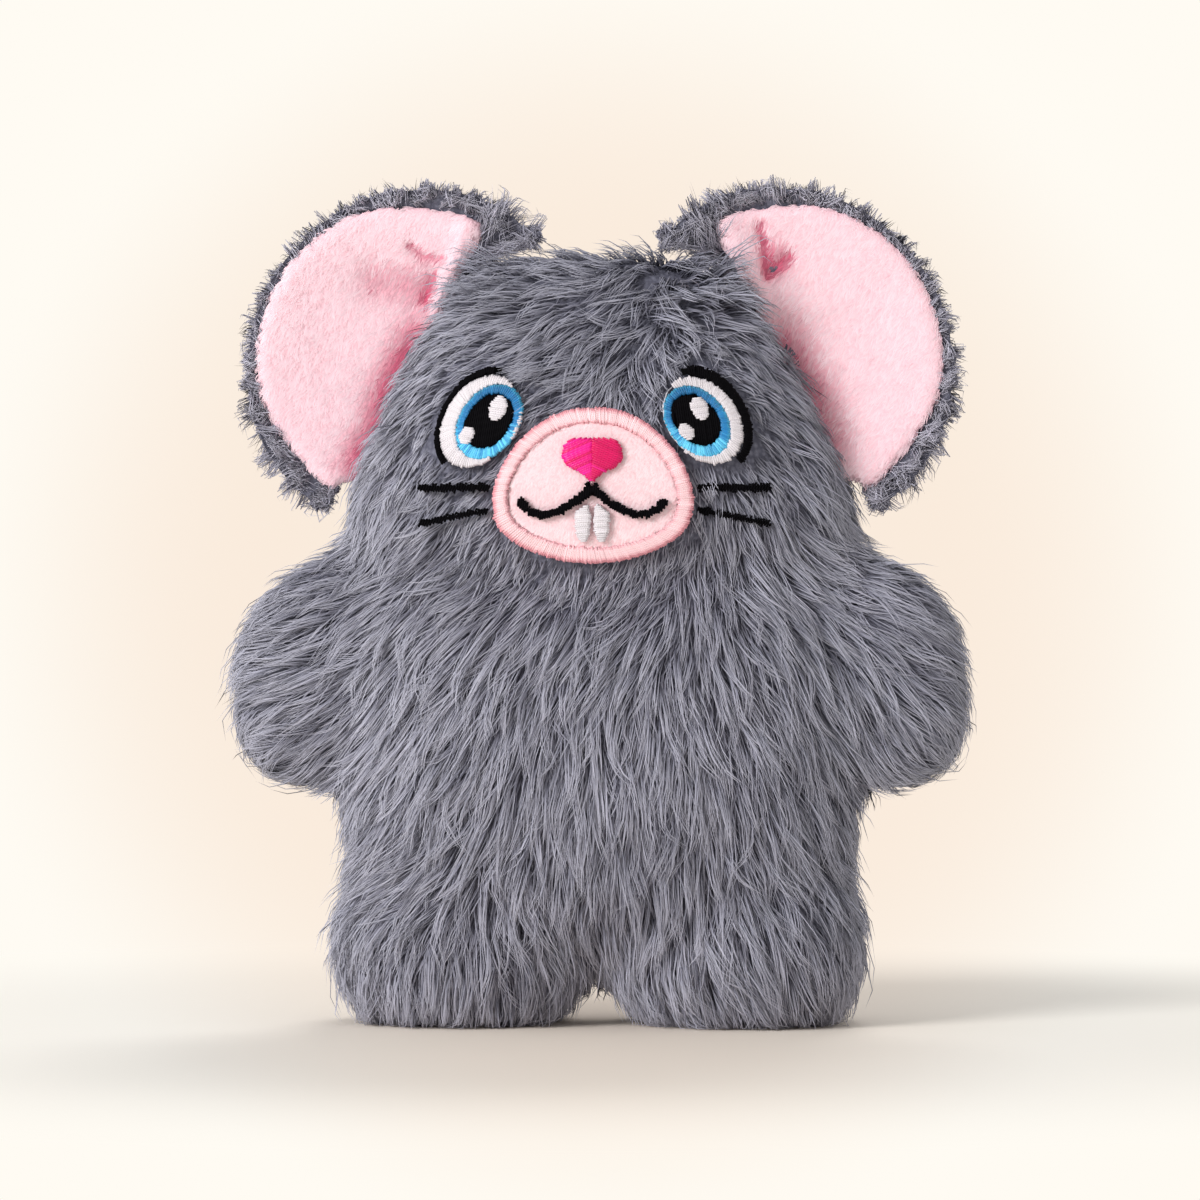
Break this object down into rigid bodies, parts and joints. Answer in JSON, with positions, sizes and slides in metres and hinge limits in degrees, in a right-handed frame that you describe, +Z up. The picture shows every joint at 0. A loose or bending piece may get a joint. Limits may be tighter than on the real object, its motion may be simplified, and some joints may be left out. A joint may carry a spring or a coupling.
{
  "type": "plush mouse cat toy",
  "caption": "Stuffed plush mouse toy for a cat, with cupped ears and flipper arms that bend at their roots, stub legs and an embroidered face.",
  "frame": {"origin": "on the surface that the mouse stands on, midway between its two soles", "axes": "+Z up, +Y towards the back of the mouse, which faces -Y, and +X towards its own left side"},
  "size_m": [0.1194, 0.046, 0.1346],
  "materials": {
    "grey_plush": "matte",
    "pink_plush": "matte",
    "muzzle_plush": "matte",
    "filling_fibre": "matte",
    "pouch_cotton": "matte",
    "pink_thread": "satin",
    "magenta_thread": "satin",
    "black_thread": "satin",
    "white_thread": "satin",
    "blue_thread": "satin"
  },
  "bodies": {
    "body": {"torso_front_panel": "grey_plush", "torso_back_panel": "grey_plush", "torso_filling": "filling_fibre", "catnip_pouch": "pouch_cotton", "head_front_panel": "grey_plush", "head_back_panel": "grey_plush", "head_filling": "filling_fibre", "leg_left_front_panel": "grey_plush", "leg_left_back_panel": "grey_plush", "leg_left_filling": "filling_fibre", "leg_right_front_panel": "grey_plush", "leg_right_back_panel": "grey_plush", "leg_right_filling": "filling_fibre", "muzzle_patch": "muzzle_plush", "muzzle_border": "pink_thread", "nose_stitch": "magenta_thread", "mouth_stitch": "black_thread", "tooth_left_stitch": "white_thread", "tooth_right_stitch": "white_thread", "eye_left_white": "white_thread", "eye_left_iris": "blue_thread", "eye_left_pupil": "black_thread", "eye_left_glint": "white_thread", "eye_left_small_glint": "white_thread", "eye_left_lash": "black_thread", "eye_right_white": "white_thread", "eye_right_iris": "blue_thread", "eye_right_pupil": "black_thread", "eye_right_glint": "white_thread", "eye_right_small_glint": "white_thread", "eye_right_lash": "black_thread", "whisker_left_upper_stitch": "black_thread", "whisker_left_lower_stitch": "black_thread", "whisker_right_upper_stitch": "black_thread", "whisker_right_lower_stitch": "black_thread"},
    "ear_left": {"ear_left_back": "grey_plush", "ear_left_lining": "pink_plush"},
    "ear_right": {"ear_right_back": "grey_plush", "ear_right_lining": "pink_plush"},
    "arm_left": {"arm_left_front_panel": "grey_plush", "arm_left_back_panel": "grey_plush", "arm_left_filling": "filling_fibre"},
    "arm_right": {"arm_right_front_panel": "grey_plush", "arm_right_back_panel": "grey_plush", "arm_right_filling": "filling_fibre"}
  },
  "joints": [
    {"name": "ear_left_fold", "type": "hinge", "parent": "body", "child": "ear_left", "pos_m": [0.03107, 0.0036, 0.10659], "axis": [0.5299, 0, -0.848], "range_deg": [-25, 35], "stiffness_Nm_per_rad": 0.02},
    {"name": "ear_right_fold", "type": "hinge", "parent": "body", "child": "ear_right", "pos_m": [-0.03107, 0.0036, 0.10659], "axis": [0.5299, 0, 0.848], "range_deg": [-25, 35], "stiffness_Nm_per_rad": 0.02},
    {"name": "arm_left_swing", "type": "hinge", "parent": "body", "child": "arm_left", "pos_m": [0.037, 0, 0.054], "axis": [0, 0, -1], "range_deg": [-20, 25], "stiffness_Nm_per_rad": 0.04},
    {"name": "arm_right_swing", "type": "hinge", "parent": "body", "child": "arm_right", "pos_m": [-0.037, 0, 0.054], "axis": [0, 0, 1], "range_deg": [-20, 25], "stiffness_Nm_per_rad": 0.04}
  ]
}
